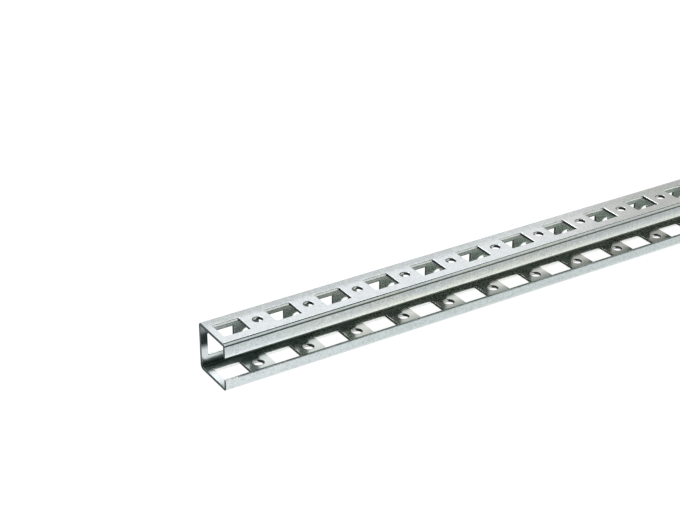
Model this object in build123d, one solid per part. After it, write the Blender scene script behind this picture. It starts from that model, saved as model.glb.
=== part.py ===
from build123d import *
import os

# A perforated mounting rail: a C section with turned-in lips, bent from one punched steel strip.
# The rail runs along X, its slot faces the front (-Y) and it rests on its lower flange, +Z up.
# The origin is at the middle of the rail, on the surface that it rests on. Sizes are millimetres.

# Length of the piece of stock
rail_length = 395.0

# Section, measured over the outside of the sheet
sheet_thickness = 1.5
section_depth = 23.0
section_height = 23.0
inner_bend_radius = 0.5
upper_lip_height = 6.5
lower_lip_height = 5.5
lip_edge_radius = 0.25

# Hole row: oblong holes with a round hole midway between each two, alike on all three sides
hole_pitch = 25.0
end_to_first_oblong = 9.5
least_end_strip = 2.0
oblong_hole_length = 12.5
oblong_hole_width = 10.5
oblong_corner_break = 0.3
round_hole_diameter = 4.5

# How far a punch starts outside the sheet, and how far it goes on past the inside
punch_overrun = 1.0

near_end = -rail_length / 2
outer_bend_radius = inner_bend_radius + sheet_thickness


def rail_section():
    """The bent strip at the near end: its outside line, then the sheet's thickness inwards."""
    front = -section_depth / 2
    back = section_depth / 2
    slot_bottom = lower_lip_height
    slot_top = section_height - upper_lip_height
    with BuildSketch(Plane.YZ.offset(near_end)) as section:
        with BuildLine():
            FilletPolyline(
                (front, slot_top),
                (front, section_height),
                (back, section_height),
                (back, 0),
                (front, 0),
                (front, slot_bottom),
                radius=outer_bend_radius,
            )
            offset(amount=sheet_thickness, side=Side.RIGHT)
        make_face()
        slot_middle = (front, (slot_bottom + slot_top) / 2)
        lip_corners = section.vertices().sort_by_distance(slot_middle)[:4]
        fillet(lip_corners, lip_edge_radius)
    return section.sketch


def hole_centres(first_from_end, hole_length):
    """Places along X of a row of holes, up to the last that leaves enough metal at the far end."""
    last_from_end = rail_length - least_end_strip - hole_length / 2
    steps = int((last_from_end - first_from_end) // hole_pitch)
    return [near_end + first_from_end + step * hole_pitch for step in range(steps + 1)]


def punches(outside_face):
    """The punches for one side, from outside its face to just past the inside of the sheet."""
    oblong = Rectangle(oblong_hole_length, oblong_hole_width)
    oblong = chamfer(oblong.vertices(), oblong_corner_break)
    circle = Circle(round_hole_diameter / 2)
    outlines = Sketch()
    outlines += [Pos(x, 0) * oblong for x in oblong_centres]
    outlines += [Pos(x, 0) * circle for x in round_centres]
    start = outside_face.offset(punch_overrun)
    return extrude(start * outlines, amount=-(sheet_thickness + 2 * punch_overrun))


oblong_centres = hole_centres(end_to_first_oblong, oblong_hole_length)
round_centres = hole_centres(end_to_first_oblong + hole_pitch / 2, round_hole_diameter)

# The outside faces of the three punched sides, local x along the rail
top_flange = Plane((0, 0, section_height), x_dir=(1, 0, 0), z_dir=(0, 0, 1))
web = Plane((0, section_depth / 2, section_height / 2), x_dir=(1, 0, 0), z_dir=(0, 1, 0))
lower_flange = Plane((0, 0, 0), x_dir=(1, 0, 0), z_dir=(0, 0, -1))

# The plain bent channel, then a row of holes through each side
perforated_rail = extrude(rail_section(), amount=rail_length)
for outside_face in (top_flange, web, lower_flange):
    perforated_rail -= punches(outside_face)
perforated_rail.label = "perforated_rail"

os.makedirs("parts", exist_ok=True)
export_step(perforated_rail, "parts/perforated_rail.step")
print("Oblong holes a side:", len(oblong_centres))
print("Round holes a side:", len(round_centres))
print("Weight in steel, kg:", round(perforated_rail.volume * 7.85e-6, 3))
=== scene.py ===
# %% [markdown]
# A perforated mounting rail in zinc-plated steel.
#
# This lesson dresses one finished shape: a length of steel strip that was punched, bent to a
# C section with turned-in lips, and cut off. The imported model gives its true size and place, and
# stays as it is. Here the same strip is made again with the small things that a punch, a bending
# roller and a saw leave behind, because those are what catch the light on bare metal.

# %% Load the frame
import math
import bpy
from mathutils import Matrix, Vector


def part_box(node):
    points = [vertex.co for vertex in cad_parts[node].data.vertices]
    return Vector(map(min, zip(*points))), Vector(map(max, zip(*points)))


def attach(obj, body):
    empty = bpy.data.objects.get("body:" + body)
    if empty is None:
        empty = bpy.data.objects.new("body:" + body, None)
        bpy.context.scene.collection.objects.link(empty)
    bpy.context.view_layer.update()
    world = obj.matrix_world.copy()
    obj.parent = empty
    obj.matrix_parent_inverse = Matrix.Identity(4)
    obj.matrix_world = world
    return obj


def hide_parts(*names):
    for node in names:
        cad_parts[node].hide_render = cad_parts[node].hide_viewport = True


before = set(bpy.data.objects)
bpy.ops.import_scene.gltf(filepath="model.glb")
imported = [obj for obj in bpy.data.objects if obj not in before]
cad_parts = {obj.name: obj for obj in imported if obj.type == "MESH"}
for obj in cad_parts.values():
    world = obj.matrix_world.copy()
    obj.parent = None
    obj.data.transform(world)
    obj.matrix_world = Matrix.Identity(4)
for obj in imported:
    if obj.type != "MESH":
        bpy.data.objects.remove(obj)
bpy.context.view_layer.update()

from types import SimpleNamespace

import bmesh
import bpy
from mathutils import Matrix, Vector

print("Frame nodes:", sorted(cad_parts))

# %% [markdown]
# The sizes come first, in metres, because Blender works in metres. Overall length, depth and
# height are read from the frame. The rest are the sizes that the strip is punched and bent to.
# The rail runs along X, its slot faces the front (-Y), and the near end is at the low X side.

# %% The rail's sizes
MM = 0.001
low, high = (Vector(corner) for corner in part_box("perforated_rail"))
RAIL_LENGTH, RAIL_DEPTH, RAIL_HEIGHT = high - low
SHEET = 1.5 * MM
BEND_RADIUS = 2.0 * MM
UPPER_LIP = 6.5 * MM
LOWER_LIP = 5.5 * MM
HOLE_PITCH = 25.0 * MM
END_TO_FIRST_OBLONG = 9.5 * MM
OBLONG_LENGTH = 12.5 * MM
OBLONG_WIDTH = 10.5 * MM
OBLONG_CORNER = 0.4 * MM
ROUND_RADIUS = 2.25 * MM
FLAT_HALF = RAIL_DEPTH / 2 - BEND_RADIUS
OBLONGS = 1 + int((RAIL_LENGTH - END_TO_FIRST_OBLONG - OBLONG_LENGTH / 2) / HOLE_PITCH)
oblong_places = [low.x + END_TO_FIRST_OBLONG + HOLE_PITCH * index for index in range(OBLONGS)]
print("Rail, mm:", [round(size / MM, 2) for size in (RAIL_LENGTH, RAIL_DEPTH, RAIL_HEIGHT)])
print("Oblong holes a side:", OBLONGS)

# %% [markdown]
# The strip is punched flat, in blocks that tile along it: a block holds one oblong hole or one
# round hole. A boolean cut would also make the holes, but it leaves long thin triangles that spoil
# a bevel. Here each rim is drawn first and its edges are pulled out to the edges of the block, so
# every hole is ringed by clean four-sided faces.
#
# Neighbouring blocks have to share their vertices. So each side of a block has the same nine
# levels, which come from how the oblong hole's corners fan out to the corners of its block.

# %% Levels that neighbouring blocks share
CORNER_STEPS = 6
ROUND_STEPS = 32
FAN_HALF = CORNER_STEPS // 2
straight = OBLONG_WIDTH / 2 - OBLONG_CORNER
fan = [math.tan(math.radians(45 * step / FAN_HALF)) for step in range(FAN_HALF + 1)]
upper_levels = [straight + reach * (FLAT_HALF - straight) for reach in fan]
LEVELS = [-level for level in reversed(upper_levels)] + [0.0] + upper_levels
print("Levels across a block, mm:", [round(level / MM, 2) for level in LEVELS])

# %% [markdown]
# An oblong hole's rim is a bevelled rectangle, and a round one is a circle. Both are left as bare
# edges, because it is the edges that are pulled out.

# %% Rims of the two kinds of hole


def oblong_rim(mesh, centre):
    """A rounded rectangle of edges about centre, with one more vertex halfway up each short side."""
    scale = Matrix.Diagonal((OBLONG_LENGTH / 2, OBLONG_WIDTH / 2, 1, 1))
    place = Matrix.Translation((centre, 0, 0)) @ scale
    corners = bmesh.ops.create_grid(mesh, x_segments=1, y_segments=1, size=1, matrix=place)["verts"]
    rounded = bmesh.ops.bevel(
        mesh, geom=corners, offset=OBLONG_CORNER, offset_type="OFFSET", segments=CORNER_STEPS,
        profile=0.5, affect="VERTICES", material=-1,
    )
    face = rounded["verts"][0].link_faces[0]
    short_sides = sorted(face.edges, key=lambda edge: edge.calc_length())[-4:-2]
    for side in short_sides:
        bmesh.utils.edge_split(side, side.verts[0], 0.5)
    rim = list(face.edges)
    mesh.faces.remove(face)
    return rim


def round_rim(mesh, centre):
    """A circle of edges about centre."""
    place = Matrix.Translation((centre, 0, 0))
    made = bmesh.ops.create_circle(
        mesh, cap_ends=False, radius=ROUND_RADIUS, segments=ROUND_STEPS, matrix=place
    )
    return list({edge for vertex in made["verts"] for edge in vertex.link_edges})


# %% [markdown]
# A punch also draws the sheet down a little round the hole before it cuts, so each rim sits in a
# shallow dish. It is only a twentieth of a millimetre deep, but on bright metal that small tilt
# shows as a thin light or dark line beside the hole.

# %% A block of strip round a hole
DISH_WIDTH = 0.6 * MM
DISH_DEPTH = 0.05 * MM
ALIKE = 0.0001 * MM


def pulled_out(mesh, edges):
    """Extrudes edges in place and returns the new vertices, to be moved to where they belong."""
    made = bmesh.ops.extrude_edge_only(mesh, edges=edges)["geom"]
    return [item for item in made if isinstance(item, bmesh.types.BMVert)]


def block(mesh, rim, centre, corner_x, corner_y, left, right):
    """Pulls a rim's edges out to the block from left to right, each corner to its own corner.

    corner_x and corner_y are how far the middle of the rim's corner arcs lies from the centre.
    """

    def reach(vertex):
        """How far a vertex lies beyond the middle of its corner arc."""
        beyond_x = max(abs(vertex.co.x - centre) - corner_x, 0.0)
        return beyond_x, max(abs(vertex.co.y) - corner_y, 0.0)

    rim_verts = {vertex for edge in rim for vertex in edge.verts}
    dish_verts = pulled_out(mesh, rim)
    for vertex in dish_verts:
        way = Vector(reach(vertex)).normalized() * DISH_WIDTH
        vertex.co.x += math.copysign(way.x, vertex.co.x - centre)
        vertex.co.y += math.copysign(way.y, vertex.co.y)
    dish_rim = [
        edge for edge in mesh.edges
        if edge.verts[0] in dish_verts and edge.verts[1] in dish_verts
    ]
    bmesh.ops.translate(mesh, vec=(0, 0, -DISH_DEPTH), verts=list(rim_verts))
    sides = {left: [], right: []}
    for vertex in pulled_out(mesh, dish_rim):
        across, up = vertex.co.x - centre, vertex.co.y
        side = right if across > 0 else left
        reach_x, reach_y = reach(vertex)
        if reach_x >= reach_y - ALIKE:
            vertex.co.x = side
            sides[side].append(vertex)
        if reach_y >= reach_x - ALIKE:
            vertex.co.y = math.copysign(FLAT_HALF, up)
            spread = reach_x / reach_y * (abs(side - centre) - corner_x)
            if reach_x > ALIKE:
                vertex.co.x = centre + math.copysign(corner_x + spread, across)
    for place, column in sides.items():
        column.sort(key=lambda vertex: vertex.co.y)
        for vertex, level in zip(column, LEVELS, strict=True):
            vertex.co = (place, level, 0)


# %% [markdown]
# One side is a row of such blocks. Each starts where the last one ends, halfway along the metal
# between two holes, and the first and last reach out to the cut ends of the rail.

# %% One punched side, flat
MERGE_WITHIN = 0.001 * MM


def punched_side(mesh):
    """A row of blocks from end to end, lying flat with its outside face up."""
    block_half = (HOLE_PITCH + OBLONG_LENGTH - 2 * ROUND_RADIUS) / 4
    for index, centre in enumerate(oblong_places):
        left = low.x if index == 0 else centre - block_half
        right = high.x if index == OBLONGS - 1 else centre + block_half
        arc_x = OBLONG_LENGTH / 2 - OBLONG_CORNER
        arc_y = OBLONG_WIDTH / 2 - OBLONG_CORNER
        block(mesh, oblong_rim(mesh, centre), centre, arc_x, arc_y, left, right)
        if index < OBLONGS - 1:
            middle = centre + HOLE_PITCH / 2
            far = centre + HOLE_PITCH - block_half
            block(mesh, round_rim(mesh, middle), middle, 0, 0, right, far)
    bmesh.ops.remove_doubles(mesh, verts=mesh.verts, dist=MERGE_WITHIN)


strip = bmesh.new()
punched_side(strip)
print("One flat side:", len(strip.verts), "vertices,", len(strip.faces), "faces")

# %% [markdown]
# The other two sides are the same row, turned onto the web and the lower flange. Turned copies
# keep the three rows of holes in line, as they are on the real rail.

# %% Turn the row onto the three sides


def turned_copy(mesh, faces, turn, place):
    """A copy of faces, turned about X by that many degrees and moved to place."""
    parts = {part for face in faces for part in (*face.verts, *face.edges, face)}
    copy = bmesh.ops.duplicate(mesh, geom=list(parts))["geom"]
    verts = [item for item in copy if isinstance(item, bmesh.types.BMVert)]
    matrix = Matrix.Translation(place) @ Matrix.Rotation(math.radians(turn), 4, "X")
    bmesh.ops.transform(mesh, matrix=matrix, verts=verts)


row = list(strip.faces)
turned_copy(strip, row, -90, (0, high.y, RAIL_HEIGHT / 2))
turned_copy(strip, row, 180, (0, 0, 0))
row_verts = list({vertex for face in row for vertex in face.verts})
bmesh.ops.translate(strip, vec=(0, 0, RAIL_HEIGHT), verts=row_verts)
print("Three sides:", len(strip.faces), "faces")

# %% [markdown]
# A bend is swept from the long edge of a side with spin, which is what a bending roller does to
# the strip. Since all three rows of holes are alike, the swept edges land on the vertices of the
# next side. The front bends end in the two lips, which are plain strips pulled out from the bend.

# %% Sweep the four bends and pull out the lips
BEND_STEPS = 8
NEAR = 0.01 * MM


def long_edges(mesh, y, z):
    """The edges that run along the rail on the line at that y and z."""
    return [
        edge for edge in mesh.edges
        if all(abs(v.co.y - y) < NEAR and abs(v.co.z - z) < NEAR for v in edge.verts)
    ]


def bend(mesh, start, centre, degrees):
    """Sweeps the long edge at start round the centre line, both given as (y, z)."""
    edges = long_edges(mesh, *start)
    verts = list({vertex for edge in edges for vertex in edge.verts})
    bmesh.ops.spin(
        mesh, geom=verts + edges, cent=(0, *centre), axis=(1, 0, 0), angle=math.radians(degrees),
        steps=BEND_STEPS, use_duplicate=False,
    )


def lip(mesh, start_z, height):
    """Pulls the front edge of a bend up or down by height."""
    verts = pulled_out(mesh, long_edges(mesh, low.y, start_z))
    bmesh.ops.translate(mesh, vec=(0, 0, height), verts=verts)


top_line = RAIL_HEIGHT - BEND_RADIUS
bend(strip, (FLAT_HALF, RAIL_HEIGHT), (FLAT_HALF, top_line), -90)
bend(strip, (high.y, BEND_RADIUS), (FLAT_HALF, BEND_RADIUS), -90)
bend(strip, (-FLAT_HALF, 0), (-FLAT_HALF, BEND_RADIUS), -90)
bend(strip, (-FLAT_HALF, RAIL_HEIGHT), (-FLAT_HALF, top_line), 90)
lip(strip, top_line, BEND_RADIUS - UPPER_LIP)
lip(strip, BEND_RADIUS, LOWER_LIP - BEND_RADIUS)
bmesh.ops.remove_doubles(strip, verts=strip.verts, dist=MERGE_WITHIN)
loose = [edge for edge in strip.edges if len(edge.link_faces) > 2]
print("Bent sheet:", len(strip.faces), "faces,", len(loose), "edges with too many faces")

# %% [markdown]
# So far the sheet has no thickness: it is the outside of the strip. Solidify gives it the real
# 1.5 mm, inwards, and makes the walls round the holes, at the two ends and along the lips. It moves
# each vertex along its own normal, and in the dishes the normals lean. So the holes open by a tenth
# of a millimetre a side towards the inside, as punched holes do where the slug breaks out.

# %% Give the sheet its thickness
bmesh.ops.recalc_face_normals(strip, faces=strip.faces)
top_faces = [face for face in strip.faces if face.calc_center_median().z > RAIL_HEIGHT - NEAR]
if top_faces[0].normal.z < 0:
    bmesh.ops.reverse_faces(strip, faces=strip.faces)
bmesh.ops.solidify(strip, geom=list(strip.faces), thickness=SHEET)
strip.normal_update()
print("Solid strip:", len(strip.faces), "faces, volume, mm3:", round(strip.calc_volume() / MM**3, 1))

# %% [markdown]
# Everything that follows asks where a point lies in the sheet. There is a short way to say so. Take
# the rectangle whose corners are the centres of the four bends, and pull the point back to it. The
# way from there to the point is square to the sheet, on the flats and on the bends alike, and its
# length says how deep below the outside face the point is.

# %% Where a point lies in the sheet
MIDDLE_HEIGHT = RAIL_HEIGHT / 2
UPRIGHT_HALF = MIDDLE_HEIGHT - BEND_RADIUS


def across_sheet(point):
    """The way out to a point, square to the sheet: one bend radius long on the outside face."""
    y = point.y - max(-FLAT_HALF, min(FLAT_HALF, point.y))
    z = point.z - MIDDLE_HEIGHT
    z -= max(-UPRIGHT_HALF, min(UPRIGHT_HALF, z))
    return Vector((0, y, z))


def depth_in_sheet(point):
    """0 on the outside face of the strip, 1 on its inside face."""
    return (BEND_RADIUS - across_sheet(point).length) / SHEET


def faces_outside(face):
    """How squarely a face looks across the sheet: 1 for its two skins, 0 for a cut wall."""
    return abs(face.normal.dot(across_sheet(face.calc_center_median()).normalized()))


top_points = [Vector((0, 0, RAIL_HEIGHT - down)) for down in (0, SHEET)]
print("Depth on the two faces of the top:", [round(depth_in_sheet(p), 3) for p in top_points])

# %% [markdown]
# A punch first pulls the sheet down round its own edge, so the outside rim of a punched hole is
# rounded over, while the inside rim, where the slug breaks out, is nearly sharp. The lips have the
# rounded edge of slit coil, and the two ends have only the small break that a saw leaves. Each
# kind gets a bevel of its own width, picked by what its edges separate.

# %% Pick the edges of each kind
UPPER_LIP_EDGE = RAIL_HEIGHT - UPPER_LIP
WALL_AT_MOST = 0.2
SKIN_AT_LEAST = 0.9


def at_end(edge):
    """True for an edge that lies in the plane of a cut end."""
    return all(min(abs(v.co.x - low.x), abs(v.co.x - high.x)) < NEAR for v in edge.verts)


def at_lip(edge):
    """True for an edge that runs along the free edge of a lip."""
    heights = [abs(v.co.z - height) for v in edge.verts for height in (LOWER_LIP, UPPER_LIP_EDGE)]
    in_front = all(v.co.y < low.y + SHEET + NEAR for v in edge.verts)
    return in_front and sum(height < NEAR for height in heights) == 2


def sheared_edges(mesh):
    """The edges where a skin of the sheet meets a cut wall."""
    found = []
    for edge in mesh.edges:
        looks = sorted(faces_outside(face) for face in edge.link_faces)
        if looks[0] < WALL_AT_MOST and looks[1] > SKIN_AT_LEAST:
            found.append(edge)
    return found


rims = [edge for edge in sheared_edges(strip) if not at_end(edge) and not at_lip(edge)]
outer_rims = [edge for edge in rims if depth_in_sheet(edge.verts[0].co) < 0.5]
inner_rims = [edge for edge in rims if depth_in_sheet(edge.verts[0].co) > 0.5]
lip_edges = [edge for edge in sheared_edges(strip) if at_lip(edge) and not at_end(edge)]
print("Rim edges outside and inside:", len(outer_rims), len(inner_rims), "lip edges:", len(lip_edges))

# %% [markdown]
# The rims and the lips are rounded first. The edges of the two ends are looked up after that,
# because the bevels along the lips have changed them.

# %% Round the edges of each kind
PUNCH_ROLL = 0.28 * MM
BREAKOUT = 0.07 * MM
LIP_ROUND = 0.25 * MM
SAW_BREAK = 0.1 * MM
END_AT_LEAST = 0.9


def round_over(mesh, edges, width, segments):
    """Bevels edges to that width."""
    bmesh.ops.bevel(
        mesh, geom=edges, offset=width, offset_type="OFFSET", segments=segments, profile=0.5,
        affect="EDGES", material=-1, clamp_overlap=False,
    )


round_over(strip, outer_rims, PUNCH_ROLL, segments=3)
round_over(strip, inner_rims, BREAKOUT, segments=1)
round_over(strip, lip_edges, LIP_ROUND, segments=3)
strip.normal_update()
end_edges = [
    edge for edge in strip.edges
    if at_end(edge) and sum(abs(face.normal.x) > END_AT_LEAST for face in edge.link_faces) == 1
]
round_over(strip, end_edges, SAW_BREAK, segments=2)
strip.normal_update()
print("End edges:", len(end_edges), "and now", len(strip.faces), "faces")

# %% [markdown]
# Two finishes follow: the plated skin, and the bare steel of the cuts. A face is a cut if it looks
# along the sheet and not across it. The lips are left out, because their edges were plated too.

# %% Tell the cuts from the skin
SKIN, CUT = 0, 1
END_BREAK_AT_LEAST = 0.7
CUT_AT_MOST = 0.35
for face in strip.faces:
    centre = face.calc_center_median()
    on_lip = centre.y < -FLAT_HALF and LOWER_LIP - SHEET < centre.z < UPPER_LIP_EDGE + SHEET
    looks_along = abs(face.normal.x) > END_BREAK_AT_LEAST
    at_cut_end = looks_along and RAIL_LENGTH / 2 - abs(centre.x) < SAW_BREAK
    is_cut = at_cut_end or (faces_outside(face) < CUT_AT_MOST and not on_lip)
    face.material_index = CUT if is_cut else SKIN
    face.smooth = True
cuts = sum(face.material_index for face in strip.faces)
open_edges = [edge for edge in strip.edges if not edge.is_manifold]
print("Cut faces:", cuts, "open edges:", len(open_edges))

# %% [markdown]
# The finished mesh becomes one object at the origin. Its faces are smooth, and a Weighted Normal
# modifier lets the large flat faces set the shading, so that the narrow bevels bend the light and
# the flats stay flat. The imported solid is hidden, and this strip stands for it.

# %% Finish the mesh as an object


def as_object(name, mesh):
    """Writes a finished mesh to a new object of that name at the origin, and frees the mesh."""
    data = bpy.data.meshes.new(name)
    mesh.to_mesh(data)
    mesh.free()
    made = bpy.data.objects.new(name, data)
    bpy.context.collection.objects.link(made)
    return made


rail = as_object("punched_and_bent_strip", strip)
rail.modifiers.new("even_shading", "WEIGHTED_NORMAL")
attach(rail, "root")
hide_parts("perforated_rail")
print("Made", rail.name, "with", len(rail.data.polygons), "faces")

# %% [markdown]
# Shader nodes are easier to read as sums. The class below wraps one output of a node, and a sum
# written on it adds the Math nodes that it needs. Every other node comes from its one method, which
# takes the kind of node, its settings and the values of its inputs, in that order, because a
# setting such as a data type decides which inputs a node has.

# %% A wire that can be added and multiplied


class Wire:
    """One output of a shader node. Sums on it become Math nodes."""

    def __init__(self, socket):
        self.socket = socket

    def node(self, kind, settings=None, inputs=None, output=0):
        """Adds a node of that kind to the same tree and returns the output asked for."""
        made = self.socket.id_data.nodes.new(kind)
        for name, value in (settings or {}).items():
            setattr(made, name, value)
        for name, value in (inputs or {}).items():
            usable = [socket for socket in made.inputs if socket.enabled]
            target = usable[name] if isinstance(name, int) else {s.name: s for s in usable}[name]
            if isinstance(value, Wire):
                self.socket.id_data.links.new(value.socket, target)
            else:
                target.default_value = value
        outputs = [socket for socket in made.outputs if socket.enabled]
        return Wire(outputs[output])

    def sum(self, operation, *values):
        """Adds a Math node that does that operation on the values."""
        return self.node("ShaderNodeMath", {"operation": operation}, dict(enumerate(values)))

    def __add__(self, other):
        return self.sum("ADD", self, other)

    def __sub__(self, other):
        return self.sum("SUBTRACT", self, other)

    def __rsub__(self, other):
        return self.sum("SUBTRACT", other, self)

    def __mul__(self, other):
        return self.sum("MULTIPLY", self, other)

    def __truediv__(self, other):
        return self.sum("DIVIDE", self, other)

    def __pow__(self, other):
        return self.sum("POWER", self, other)

    def __abs__(self):
        return self.sum("ABSOLUTE", self)

    __radd__ = __add__
    __rmul__ = __mul__

    def at_least(self, other):
        return self.sum("MAXIMUM", self, other)

    def at_most(self, other):
        return self.sum("MINIMUM", self, other)

    def between(self, start, end):
        """0 below start, 1 above end, and smooth in between."""
        ends = {"Value": self, "From Min": start, "From Max": end}
        return self.node("ShaderNodeMapRange", {"interpolation_type": "SMOOTHSTEP"}, ends)


def blend(factor, first, second):
    """Mixes two colours by a wire from 0 to 1."""
    inputs = {"Factor": factor, "A": first, "B": second}
    return factor.node("ShaderNodeMix", {"data_type": "RGBA"}, inputs)


# %% [markdown]
# Both finishes start from the same three things: the place of a point on the rail in object
# coordinates, its depth in the sheet, worked out as above but now in nodes, and noise stretched
# along the rail, because the steel was rolled and then drawn through the bending rollers that way.

# %% What both finishes start from


def metal(name):
    """A new all-metal material, its shader node and the object coordinates in it."""
    material = bpy.data.materials.new(name)
    material.use_nodes = True
    shader = material.node_tree.nodes["Principled BSDF"]
    shader.inputs["Metallic"].default_value = 1.0
    coordinates = material.node_tree.nodes.new("ShaderNodeTexCoord")
    return material, shader, Wire(coordinates.outputs["Object"])


def connect(wire, shader, socket_name):
    """Links a wire to an input of a shader."""
    wire.socket.id_data.links.new(wire.socket, shader.inputs[socket_name])


def axes(place):
    """The x, y and z of a place, as three wires."""
    return [
        place.node("ShaderNodeSeparateXYZ", {}, {"Vector": place}, output=axis) for axis in range(3)
    ]


def noise(place, cycles, detail=3.0, shift=(0, 0, 0)):
    """Noise from 0 to 1 with that many cycles a metre along x, y and z."""
    spread = place.node("ShaderNodeMapping", {}, {"Vector": place, "Location": shift, "Scale": cycles})
    inputs = {"Vector": spread, "Scale": 1.0, "Detail": detail, "Roughness": 0.6}
    return place.node("ShaderNodeTexNoise", {"normalize": True}, inputs)


def sheet_depth(place):
    """Depth in the sheet, 0 outside and 1 inside, and how far into a bend a point lies, 0 to 1."""
    _, y, z = axes(place)
    y_out = (abs(y) - FLAT_HALF).at_least(0.0)
    z_out = (abs(z - MIDDLE_HEIGHT) - UPRIGHT_HALF).at_least(0.0)
    reach = (y_out * y_out + z_out * z_out) ** 0.5
    on_bend = y_out.at_most(z_out) / (BEND_RADIUS * math.sin(math.pi / 4))
    return (BEND_RADIUS - reach) / SHEET, on_bend.at_most(1.0)


def from_oblong_middle(x):
    """How far a point lies along the rail from the middle of the nearest oblong hole."""
    pitches = (x - (low.x + END_TO_FIRST_OBLONG)) / HOLE_PITCH
    return abs(pitches - pitches.sum("ROUND", pitches)) * HOLE_PITCH


def beyond_rims(place):
    """How far a point on a flat lies beyond the nearest hole's rim, in metres."""
    x, y, z = axes(place)
    along = from_oblong_middle(x)
    across = abs(y).at_most(abs(z - MIDDLE_HEIGHT))
    from_oblong = (along - OBLONG_LENGTH / 2).at_least(across - OBLONG_WIDTH / 2)
    to_round = HOLE_PITCH / 2 - along
    from_round = (to_round * to_round + across * across) ** 0.5 - ROUND_RADIUS
    return from_oblong.at_most(from_round)


def tipped(place, amount, slope):
    """The surface's normal, tipped to the front by that slope where amount is 1."""
    normal = place.node("ShaderNodeTexCoord", output=1)
    tip = {"Vector": (0, -slope, 0), "Scale": amount}
    forward = place.node("ShaderNodeVectorMath", {"operation": "SCALE"}, tip)
    leaning = place.node("ShaderNodeVectorMath", {"operation": "ADD"}, {0: normal, 1: forward})
    return place.node("ShaderNodeVectorMath", {"operation": "NORMALIZE"}, {0: leaning})


def bumped(place, height, strength, distance, normal=None):
    """A normal roughened by a height wire, where a height of 1 is that distance in metres."""
    inputs = {"Strength": strength, "Distance": distance, "Height": height}
    if normal:
        inputs["Normal"] = normal
    return place.node("ShaderNodeBump", {}, inputs)


# %% [markdown]
# Bright zinc plate is not one grey. It is slightly blue or green from the passivation bath, in soft
# patches some centimetres long, with a fine mottle of crystals of about a millimetre. The rollers
# leave fine lines along the rail, and hands and packing leave rubs and smudges.
#
# One noise can't make all this, because each mark has a size and a direction of its own. So each
# is a wire of noise, and a second set of wires says where on the rail it shows: x is the way along
# the rail, y across it and z up it. Both sets are namespaces, so that marks.lines and at.front can
# be asked for by name.

# %% Stretches of the rail and patterns in the plate
NEAR_FADE = (low.x + 10 * MM, low.x + 90 * MM)
FAR_FADE = (-140 * MM, 100 * MM)
LIP_HIGHLIGHT_TO = (low.x + 5 * MM, low.x + 8 * MM)
CRYSTALS_A_METRE = 900.0


def stretches(place):
    """Wires from 0 to 1 that mark the stretches of the rail, with x, y and z themselves."""
    x, y, z = axes(place)
    depth, on_bend = sheet_depth(place)
    front = (0 - y).between(FLAT_HALF, FLAT_HALF + BEND_RADIUS)
    # The lower lip's free edge at the near end gets a painted highlight and a rougher finish.
    rubbed_and_highlit_edge = front * (1 - abs(z - LOWER_LIP).between(0.2 * MM, 0.8 * MM))
    return SimpleNamespace(
        x=x, y=y, z=z, front=front, on_bend=on_bend,
        inside=depth.between(0.4, 0.7),
        along=x.between(*NEAR_FADE),
        far_along=x.between(*FAR_FADE),
        upper_lip=front * z.between(MIDDLE_HEIGHT, MIDDLE_HEIGHT + MM),
        lower_lip=front * (1 - z.between(LOWER_LIP, LOWER_LIP + MM)),
        lowest=1 - z.between(MM, 2.5 * MM),
        on_floor=1 - z.between(SHEET, SHEET + MM),
        rubbed_and_highlit_edge=rubbed_and_highlit_edge * (1 - x.between(*LIP_HIGHLIGHT_TO)),
    )


def patterns(place):
    """Wires of noise from 0 to 1, one for each kind of mark in the plate."""
    crystal_inputs = {"Vector": place, "Scale": CRYSTALS_A_METRE, "Randomness": 1.0}
    crystals = place.node("ShaderNodeTexVoronoi", {"feature": "F1"}, crystal_inputs, output=1)
    return SimpleNamespace(
        crystal=axes(crystals)[0],
        mottle=noise(place, (1300, 1800, 1800)),
        streaks=noise(place, (30, 1000, 1000), detail=2.0, shift=(5, 2, 4)).between(0.45, 0.7),
        lines=noise(place, (25, 5200, 5200)),
        cross_rub=noise(place, (1700, 90, 90), detail=2.0),
        smudges=noise(place, (45, 130, 130), detail=4.0, shift=(3, 1, 2)).between(0.5, 0.75),
        stains=noise(place, (30, 90, 90), shift=(0.35, 0, 0)).between(0.3, 0.6),
    )


# %% [markdown]
# Some places are painted brighter, as a painted sheen: the rims of the oblong holes, the free
# edge of the upper lip, and the lower lip. The bands between them are painted darker, as painted
# shade, and so are the rims of the small round holes.

# %% Painted sheen and painted shade on the outside
ROUND_HOLE_ZONE = (8 * MM, 9 * MM)


def hole_rims(place, at):
    """Two wires that are 1 at the rims, of the oblong holes and of the round ones."""
    rims = 1 - beyond_rims(place).between(0.05 * MM, DISH_WIDTH)
    by_round = from_oblong_middle(at.x).between(*ROUND_HOLE_ZONE)
    return rims * (1 - by_round), rims * by_round


def painted_sheen(at, oblong_rims):
    """How much painted sheen brightens the plate."""
    lip_edge = 1 - abs(at.z - UPPER_LIP_EDGE).between(0.5 * MM, 2 * MM)
    # Painted sheen: a brighter colour at the oblong rims, the upper lip's free edge and the lower lip.
    sheen = (oblong_rims * 0.4).at_least(lip_edge * (0.9 - at.far_along * 0.6))
    sheen = sheen.at_least(at.lower_lip * (0.4 - at.along * 0.4))
    return sheen.at_least(at.lower_lip * at.lowest * 0.3)


def painted_shade_bands(at, round_rims):
    """How much painted shade darkens the plate beyond its surroundings."""
    # Painted shade: darker bands on the lips and at the back, and round the small round holes.
    upper_band = at.z.between(UPPER_LIP_EDGE + MM, RAIL_HEIGHT - BEND_RADIUS)
    upper_band = upper_band * at.upper_lip * (1 - at.on_bend * 0.8)
    lower_band = at.lower_lip * (1 - at.lowest) * at.along
    back_band = at.y.between(3 * MM, 8 * MM)
    band_shade = upper_band * (0.3 + at.along * 0.4 + at.far_along * 0.3)
    band_shade = band_shade + lower_band * (0.1 + at.far_along * 0.15)
    return band_shade + back_band * (0.8 - at.far_along * 0.6) + round_rims * 0.5
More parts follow.
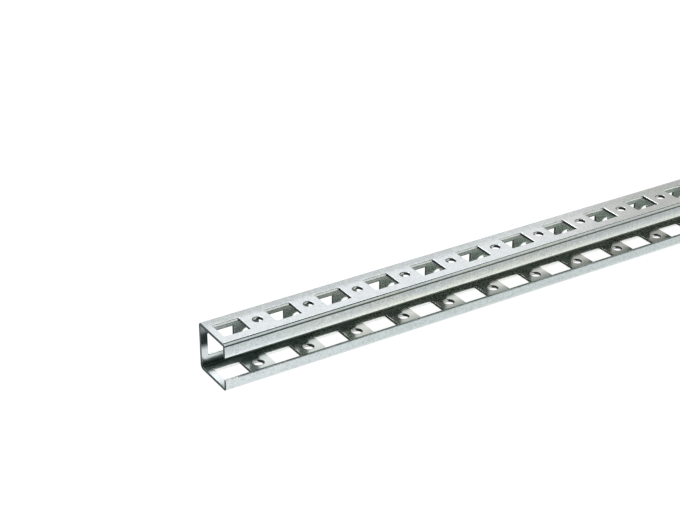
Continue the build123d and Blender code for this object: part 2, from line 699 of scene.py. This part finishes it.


# %% [markdown]
# The colours are what the metal reflects, one for each tint on the rail. The place on the rail
# picks the tint, a painted sheen brightens it, and the speckle of crystals, lines and rubs
# darkens it, as do the painted shade bands.

# %% Colour of the outside
BLUE_GREY = (0.630, 0.670, 0.685, 1)
PLAIN_GREY = (0.625, 0.640, 0.618, 1)
LIP_GREY = (0.600, 0.672, 0.668, 1)
LIP_FAR_GREY = (0.560, 0.618, 0.600, 1)
LILAC_GREY = (0.66, 0.65, 0.70, 1)
GREEN_GREY = (0.665, 0.685, 0.595, 1)
DULL_AND_SHADED_GREY = (0.40, 0.43, 0.43, 1)
SHEEN_GREY = (0.82, 0.87, 0.88, 1)
SHEEN_GREEN = (0.86, 0.90, 0.81, 1)
LIP_EDGE_HIGHLIGHT = (0.84, 0.86, 0.86, 1)


def outside_colour(at, marks, sheen, band_shade):
    """The tint of the plate, then its painted sheen, and over both its dull speckle and painted shade.
    """
    tint = blend(at.front, BLUE_GREY, LIP_GREY)
    far_tint = blend(at.front, PLAIN_GREY, LIP_FAR_GREY)
    tint = blend(at.far_along * (1 - at.lower_lip * 0.7), tint, far_tint)
    tint = blend(marks.stains * at.upper_lip * at.along * (1 - at.far_along * 0.6), tint, GREEN_GREY)
    tint = blend(marks.streaks * (0.5 - at.front * 0.2), tint, LILAC_GREY)
    shine = blend(at.upper_lip * at.along, SHEEN_GREY, SHEEN_GREEN)

    speckle = (marks.mottle - 0.5) * (1.8 + at.front * 0.4)
    speckle = speckle + (marks.crystal - 0.5) * 0.4 + (marks.lines - 0.5) * 0.5
    rubs = (marks.cross_rub - 0.5) * (0.2 + at.upper_lip * at.along * 0.5)
    dullness_and_shade = (speckle + rubs + 0.07 + band_shade).at_least(0.0).at_most(1.0)
    colour = blend(dullness_and_shade, blend(sheen, tint, shine), DULL_AND_SHADED_GREY)
    # A painted highlight on the lower lip's edge at the near end.
    return blend(at.rubbed_and_highlit_edge, colour, LIP_EDGE_HIGHLIGHT)


# %% [markdown]
# Inside the channel the plate is drawn darker and greyer along the rail, as painted shade. It is
# painted lighter at the near end, just behind the lower lip and high on the web, as painted light,
# and painted shade darkens the lower corner, the floor, the low web, and the web and the bend at
# the cut end.

# %% Colour of the channel
# The channel's tints are drawn darker than the outside, as painted shade; the light ones are painted
# light.
CHANNEL_LIT_END = (0.74, 0.79, 0.81, 1)
CHANNEL_GREEN = (0.58, 0.63, 0.62, 1)
CHANNEL_GREY = (0.55, 0.57, 0.53, 1)
CHANNEL_FAR = (0.50, 0.51, 0.47, 1)
CHANNEL_LIGHT = (0.78, 0.88, 0.83, 1)
CHANNEL_SHADE = (0.14, 0.17, 0.15, 1)
END_SHADE_COLOUR = (0.06, 0.08, 0.075, 1)
LIT_END_TO = (low.x + 4 * MM, low.x + 24 * MM)
BEND_SHADE_TO = (low.x + 6 * MM, low.x + 30 * MM)
END_SHADE_TO = (low.x + 3.5 * MM, low.x + 8 * MM)
FLOOR_SHADE_FROM = (-170 * MM, -50 * MM)


def channel_tint(at, from_end):
    """The channel's tint with its painted light bands and the painted shade of its floor and web."""
    # Painted light at the near end, and painted shade further along the rail.
    tint = blend(from_end, CHANNEL_LIT_END, blend(at.along, CHANNEL_GREEN, CHANNEL_GREY))
    tint = blend(at.far_along, tint, CHANNEL_FAR)

    # Painted light just behind the lower lip and high on the web.
    behind_lip = 1 - at.y.between(-6 * MM, -5 * MM)
    on_web = at.y.between(FLAT_HALF, FLAT_HALF + 0.4 * MM)
    high_web = at.z.between(11 * MM, 13 * MM) * on_web * at.along
    tint = blend((behind_lip * 0.7 + high_web * 0.5) * at.along, tint, CHANNEL_LIGHT)

    # Painted shade on the front of the channel's floor and on the low web.
    front_floor = at.on_floor * (1 - at.y.between(-4 * MM, 2.5 * MM)) * (1 - behind_lip)
    front_floor = front_floor * at.x.between(*FLOOR_SHADE_FROM)
    low_web = at.z.between(3 * MM, 6 * MM) * (1 - at.z.between(9.5 * MM, 12 * MM))
    shaded = front_floor * (0.6 + at.far_along * 0.12)
    shaded = shaded + low_web * on_web * from_end * (0.9 - at.along * 0.2)
    return blend(shaded, tint, CHANNEL_SHADE)


def channel_colour(at):
    """The channel's plate with painted shade in its depth and at its cut end."""
    from_end = at.x.between(*LIT_END_TO)
    # Painted shade deep in the channel, strongest in its lower corner.
    deep = at.y.between(0.0, FLAT_HALF + SHEET) * (1 - at.along * 0.25 - at.far_along * 0.25)
    corner = 1 - at.z.between(SHEET + 0.5 * MM, SHEET + 3 * MM)
    deep_shade = deep * (corner * 0.95).at_least(0.1 + from_end * 0.4)
    # Painted shade in the inner bend and on the web at the cut end.
    bend_shade = at.on_bend.between(0.02, 0.12) * corner * (1 - at.x.between(*BEND_SHADE_TO))
    bend_shade = bend_shade * at.y.between(0.0, 5 * MM)
    end_shade = at.z.between(9 * MM, 13 * MM) * (1 - at.z.between(16.5 * MM, 18.5 * MM) * 0.4)
    end_shade = end_shade * deep * (1 - at.x.between(*END_SHADE_TO))
    return blend(end_shade.at_least(bend_shade), blend(deep_shade, channel_tint(at, from_end), CHANNEL_SHADE), END_SHADE_COLOUR)


# %% [markdown]
# A bent flange springs back by a degree or two, so the channel's floor is not quite level. In a
# shiny channel that shows, because the floor then mirrors the holes of the web a little deeper in.
# The lean is far too small to model, so it is given to the normal, as the fine bumps are.

# %% Zinc plate
SPRING_BACK_DEGREES = 2.2
PLATE_GRAIN_HEIGHT = 0.02 * MM


def zinc_plate():
    """The plated skin, outside and in the channel."""
    material, shader, place = metal("zinc_plate")
    at = stretches(place)
    marks = patterns(place)
    oblong_rims, round_rims = hole_rims(place, at)
    outside = outside_colour(at, marks, painted_sheen(at, oblong_rims), painted_shade_bands(at, round_rims))
    in_channel = at.inside * (1 - at.rubbed_and_highlit_edge)
    connect(blend(in_channel, outside, channel_colour(at)), shader, "Base Color")

    roughness = 0.13 + marks.lines * 0.08 + marks.mottle * 0.05 + marks.smudges * 0.08
    rolled = at.on_bend * (1 - at.inside)
    roughness = roughness - at.inside * 0.02 - rolled * 0.1 + at.rubbed_and_highlit_edge * 0.3
    connect(roughness, shader, "Roughness")

    height = marks.mottle * 0.5 + marks.lines * 0.35 + marks.crystal * 0.12
    sprung = tipped(place, at.inside * at.on_floor, math.tan(math.radians(SPRING_BACK_DEGREES)))
    connect(bumped(place, height, 0.35, PLATE_GRAIN_HEIGHT, sprung), shader, "Normal")
    return material


rail.data.materials.append(zinc_plate())
print("Nodes in the zinc plate:", len(rail.data.materials[SKIN].node_tree.nodes))

# %% [markdown]
# A punched wall has two bands. The punch shears and burnishes the sheet for the first part of the
# way, which leaves it bright with fine drag lines. Then the slug breaks out, and the rest is dull
# and grainy. How far the bright band reaches is set by the way a wall faces: the walls that look
# to the near end are drawn dark nearly all the way, as painted shade, least so along the far half
# of the lower flange, and the others are burnished almost through. The walls of the round holes
# are less bright, with painted shade near the outside face and on the walls that look to the
# far end.

# %% Walls of the punched holes
BURNISHED_DEPTH = 0.85
NEAR_FACING_BREAK = 0.08
MOUTH_SHADE_DEPTH = (0.2, 0.4)
BURNISHED_STEEL = (0.86, 0.89, 0.85, 1)
DULLED_STEEL = (0.62, 0.66, 0.64, 1)
BROKEN_AND_SHADED_STEEL = (0.045, 0.05, 0.045, 1)
GRAIN_SHADE = (0.03, 0.032, 0.03, 1)


def burnish_and_shade_depth(place, facing):
    """How deep a wall stays burnished, 0 to 1, by the way it faces, so that painted shade falls on
    some.
    """
    x, _, z = axes(place)
    lower_flange = 1 - z.between(2 * SHEET, 3 * SHEET)
    least = NEAR_FACING_BREAK + lower_flange * x.between(low.x, 0.0) * 0.3
    return (1 + facing * 1.4).at_most(BURNISHED_DEPTH).at_least(least)


def punched_wall(place, sawn, grain):
    """The colour of a punched wall with its painted shade, and where its dark band lies."""
    depth, _ = sheet_depth(place)
    x, _, _ = axes(place)
    facing, _, facing_up = axes(place.node("ShaderNodeTexCoord", output=1))
    wander = noise(place, (900, 900, 900))
    # Walls that face the near end turn dark early: painted shade.
    broken_and_shaded = (depth - burnish_and_shade_depth(place, facing) + (wander - 0.5) * 0.3).between(-0.08, 0.08)

    round_wall = from_oblong_middle(x).between(*ROUND_HOLE_ZONE)
    steel = blend(facing_up.between(0.5, 0.9), BURNISHED_STEEL, DULLED_STEEL)
    steel = blend(round_wall * 0.8, steel, DULLED_STEEL)
    # Painted shade near the outside face of the round holes and on walls facing the far end.
    mouth_shade = (1 - depth.between(*MOUTH_SHADE_DEPTH)).at_least(facing.between(0.55, 0.8) * 0.7)
    wall = blend(broken_and_shaded, steel, BROKEN_AND_SHADED_STEEL)
    wall = blend(round_wall * mouth_shade * (1 - sawn), wall, BROKEN_AND_SHADED_STEEL)
    return blend(grain * broken_and_shaded * 0.5, wall, GRAIN_SHADE), broken_and_shaded


# %% [markdown]
# The two ends of the rail were sawn off last. They are bare steel as the punched walls are, so
# they share this finish, and a mask within half a millimetre of each end tells them apart. They
# are dark, and darkest low at the back, which is painted shade for the channel's inner corner.

# %% Bare steel of the cuts
SAWN_STEEL = (0.08, 0.10, 0.10, 1)
END_CORNER_SHADE = (0.004, 0.006, 0.005, 1)
SAWN_FROM = (RAIL_LENGTH / 2 - 0.5 * MM, RAIL_LENGTH / 2 - 0.3 * MM)
CUT_GRAIN_HEIGHT = 0.03 * MM


def cut_steel():
    """The bare steel of the punched walls and of the two sawn ends."""
    material, shader, place = metal("cut_steel")
    x, y, z = axes(place)
    drag = noise(place, (4000, 4000, 4000), detail=2.0)
    grain = noise(place, (7000, 7000, 7000), detail=4.0)
    sawn = abs(x).between(*SAWN_FROM)
    wall, broken_and_shaded = punched_wall(place, sawn, grain)
    # Painted shade low at the back of each sawn end, in the channel's inner corner.
    corner_shade = y.between(8 * MM, 11 * MM) * (1 - z.between(2 * MM, 6 * MM))
    connect(blend(sawn, wall, blend(corner_shade, SAWN_STEEL, END_CORNER_SHADE)), shader, "Base Color")

    roughness = 0.26 + drag * 0.08 + broken_and_shaded * 0.25 + sawn * 0.2
    connect(roughness.at_most(0.7), shader, "Roughness")

    height = drag * 0.2 + grain * (broken_and_shaded + sawn).at_most(1.0)
    connect(bumped(place, height, 0.5, CUT_GRAIN_HEIGHT), shader, "Normal")
    return material


rail.data.materials.append(cut_steel())
print("Materials:", [material.name for material in rail.data.materials])

# %% [markdown]
# The camera looks down on the near end from the front left, as the photograph does. Its place,
# turn and lens were solved from the rail's own shape, so that its bend lines, the cut ends of its
# lips and the corners of its holes fall on the same pixels. It has no shift and no depth of field.

# %% Camera
CAMERA_PLACE = (-0.45876, -0.52076, 0.36567)
LENS = 85.607
DEGREES_RIGHT = 31.915
DEGREES_DOWN = 27.803
camera_data = bpy.data.cameras.new("camera")
camera_data.sensor_width = 36.0
camera_data.lens = LENS
camera = bpy.data.objects.new("camera", camera_data)
bpy.context.collection.objects.link(camera)
camera.location = CAMERA_PLACE
look = (
    Matrix.Rotation(math.radians(-DEGREES_RIGHT), 4, "Z")
    @ Matrix.Rotation(math.radians(90 - DEGREES_DOWN), 4, "X")
)
camera.rotation_euler = look.to_euler()
bpy.context.scene.camera = camera
print("Camera to the rail's near end, m:", round((Vector(CAMERA_PLACE) - low).length, 3))

# %% [markdown]
# Bare metal shows the room round it, so the room is part of the finish. It is a white tent: a white
# floor and a white surround, which camera rays and reflections both see at full white. The floor
# glows only for them and takes light from the lamps as well, which keeps the rail's soft shadow.

# %% White floor and surround
FLOOR_HALF = 3.0
FLOOR_GREY = (0.14, 0.14, 0.14, 1)
FLOOR_GLOW = 0.94
WORLD_LIGHT = 0.72
WHITE = (1, 1, 1, 1)


def seen_directly(tree):
    """1 for rays from the camera, in a reflection or through glass, 0 for the light on a surface."""
    light_path = tree.nodes.new("ShaderNodeLightPath")
    camera_ray = Wire(light_path.outputs["Is Camera Ray"])
    glossy = Wire(light_path.outputs["Is Glossy Ray"])
    return (camera_ray + glossy + Wire(light_path.outputs["Is Transmission Ray"])).at_most(1.0)


def stage_material(name):
    """A new material with no shader yet, and its output node."""
    material = bpy.data.materials.new(name)
    material.use_nodes = True
    material.node_tree.nodes.clear()
    return material, material.node_tree.nodes.new("ShaderNodeOutputMaterial")


def white_floor():
    """Grey paper for the lamps, with a white glow on top for what sees it directly."""
    material, output = stage_material("white_floor")
    seen = seen_directly(material.node_tree)
    paper = seen.node("ShaderNodeBsdfDiffuse", {}, {"Color": FLOOR_GREY})
    glow = seen.node("ShaderNodeEmission", {}, {"Color": WHITE, "Strength": seen * FLOOR_GLOW})
    connect(seen.node("ShaderNodeAddShader", {}, {0: paper, 1: glow}), output, "Surface")
    return material


floor_mesh = bmesh.new()
bmesh.ops.create_grid(floor_mesh, x_segments=1, y_segments=1, size=FLOOR_HALF)
floor = as_object("floor", floor_mesh)
floor.data.materials.append(white_floor())

world = bpy.context.scene.world or bpy.data.worlds.new("world")
bpy.context.scene.world = world
world.use_nodes = True
background = world.node_tree.nodes["Background"]
background.inputs["Color"].default_value = WHITE
strength = WORLD_LIGHT + seen_directly(world.node_tree) * (1 - WORLD_LIGHT)
connect(strength, background, "Strength")
bpy.context.scene.view_settings.view_transform = "Standard"
print("Floor and surround, light on a surface:", WORLD_LIGHT)

# %% [markdown]
# In an all-white tent a bright metal has no form. So cards stand round the rail, where the metal
# reflects them and the camera does not see them. A dark one in front darkens the inside of the
# channel and one line of the front bend, and fades to a lighter grey on the right. Overhead are a
# pale card, two dark strips and a bright one, which draw the fine lines along the upper bend. A
# light grey card behind on the right lets the top of the rail fade towards that end, and a low
# one behind is what the floor of the channel mirrors through the holes of the web.

# %% Cards that only reflections see
FADE = (0.35, 1.05)


def card(name, size, centre, facing, colour, far_colour=None):
    """A flat card of that width and height, with its middle at centre and facing that way.

    With a far colour it fades to that one from left to right.
    """
    mesh = bmesh.new()
    turn = Vector(facing).to_track_quat("Z", "Y").to_matrix().to_4x4()
    place = Matrix.Translation(centre) @ turn @ Matrix.Diagonal((size[0] / 2, size[1] / 2, 1, 1))
    bmesh.ops.create_grid(mesh, x_segments=1, y_segments=1, size=1, matrix=place)
    shape = as_object(name, mesh)
    material, output = stage_material(name)
    glow = material.node_tree.nodes.new("ShaderNodeEmission")
    glow.inputs["Color"].default_value = (*colour, 1)
    if far_colour:
        coordinates = material.node_tree.nodes.new("ShaderNodeTexCoord")
        x, _, _ = axes(Wire(coordinates.outputs["Object"]))
        faded = blend(x.between(*FADE), (*colour, 1), (*far_colour, 1))
        connect(faded, glow, "Color")
    connect(Wire(glow.outputs[0]), output, "Surface")
    shape.data.materials.append(material)
    shape.visible_camera = False
    shape.visible_diffuse = False
    shape.visible_shadow = False


# %% [markdown]
# Each card is given by its width and height, the place of its middle, the way that it faces and
# its colour. The bright one glows stronger than white, as a lamp does.

# %% Place the cards
DARK, LESS_DARK = (0.115, 0.135, 0.12), (0.24, 0.26, 0.245)
PALE, BLACK, BRIGHT = (0.86, 0.88, 0.87), (0.03, 0.035, 0.035), (1.8, 1.86, 1.86)
WARM_GREY, COOL_GREY = (0.74, 0.73, 0.705), (0.50, 0.52, 0.56)
DOWN = (0, 0, -1)
card("dark_front_card", (4.0, 1.1), (0.5, -1.2, 0.57), (0, 1, 0), DARK, LESS_DARK)
card("overhead_card", (3.4, 1.59), (0.5, -0.455, 1.2), DOWN, PALE)
card("overhead_strip", (3.4, 0.54), (0.5, 0.53, 1.19), DOWN, BLACK)
card("overhead_near_strip", (1.8, 0.80), (-0.3, 0.44, 1.185), DOWN, BLACK)
card("edge_light_strip", (3.4, 0.36), (0.5, 0.97, 1.18), DOWN, BRIGHT)
card("right_back_card", (1.9, 1.3), (1.65, 0.41, 0.65), (-1, -0.75, 0), WARM_GREY)
card("low_back_card", (4.0, 0.42), (0.5, 1.8, 0.22), (0, -1, 0), COOL_GREY)

# %% [markdown]
# The tent alone would leave no shadow and little shape. Two square softboxes behind the rail add
# both: a large weak one, and a small stronger one that draws the light along the rear edges.

# %% Soft lamps


def soft_lamp(name, place, width, watts):
    """A square area lamp that shines from place towards the middle of the rail."""
    data = bpy.data.lights.new(name, "AREA")
    data.shape = "SQUARE"
    data.size = width
    data.energy = watts
    lamp = bpy.data.objects.new(name, data)
    lamp.location = place
    lamp.rotation_euler = (-Vector(place)).to_track_quat("-Z", "Y").to_euler()
    bpy.context.collection.objects.link(lamp)


soft_lamp("key_softbox", place=(0.51, 1.15, 0.82), width=0.8, watts=0.44)
soft_lamp("rim_softbox", place=(-0.1, 0.72, 1.08), width=0.46, watts=3.4)
